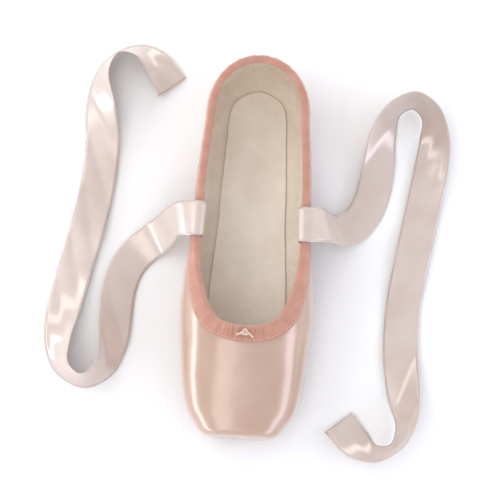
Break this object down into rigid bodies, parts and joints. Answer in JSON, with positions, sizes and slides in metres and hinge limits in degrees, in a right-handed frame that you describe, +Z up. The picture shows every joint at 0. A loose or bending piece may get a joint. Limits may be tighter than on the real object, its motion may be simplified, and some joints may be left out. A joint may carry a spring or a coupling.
{
  "type": "pointe shoe",
  "caption": "Satin pointe shoe with a flat platform toe, thin leather outsole, bound collar with drawstring and two sewn-in ribbons laid on the floor.",
  "frame": {"origin": "centre of the bounding box of the shoe without its ribbons, on the floor under the sole", "axes": "+Y along the shoe from the toe platform to the heel, +Z up, +X to the left foot's inner side or the right foot's outer side"},
  "size_m": [0.2514, 0.2648, 0.06],
  "materials": {
    "satin": "glossy peach-pink satin",
    "sole_leather": "matte cream suede leather with a tan edge",
    "lining": "plain cotton lining",
    "binding_tape": "matte salmon cotton tape",
    "drawstring": "twisted cotton cord",
    "ribbon_satin": "glossy pale satin ribbon"
  },
  "bodies": {
    "root": {"upper": "satin", "outsole": "sole_leather", "insole": "lining", "collar_binding": "binding_tape", "drawstring_knot": "drawstring", "drawstring_end_left": "drawstring", "drawstring_end_right": "drawstring", "ribbon_left": "ribbon_satin", "ribbon_right": "ribbon_satin"}
  },
  "joints": []
}
